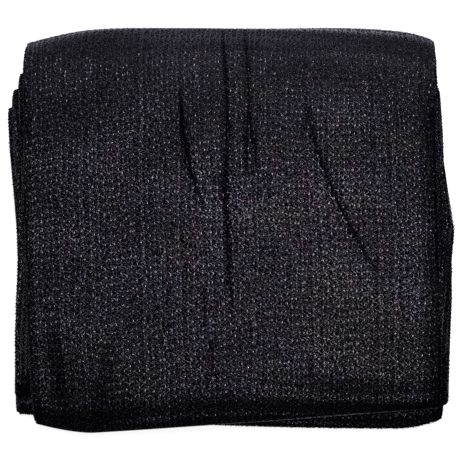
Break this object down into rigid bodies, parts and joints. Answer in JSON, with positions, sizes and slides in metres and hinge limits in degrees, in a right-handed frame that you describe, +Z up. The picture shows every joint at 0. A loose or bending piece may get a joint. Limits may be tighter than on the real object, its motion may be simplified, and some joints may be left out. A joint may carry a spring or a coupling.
{
  "type": "folded cover net",
  "caption": "Black knitted plastic cover net for shade or protection, folded in half again and again into a soft, nearly square bundle that lies flat.",
  "frame": {"origin": "on the flat underside, below the middle of the bundle", "axes": "+Z up, +X along the bundle's width to the right, +Y from the near hem to the big round far fold"},
  "size_m": [0.3721, 0.3448, 0.0649],
  "materials": {
    "net_thread": "knitted shiny black plastic thread, slightly violet, with small bright glints on the stitches"
  },
  "bodies": {
    "root": {"cover_net": "net_thread"}
  },
  "joints": []
}
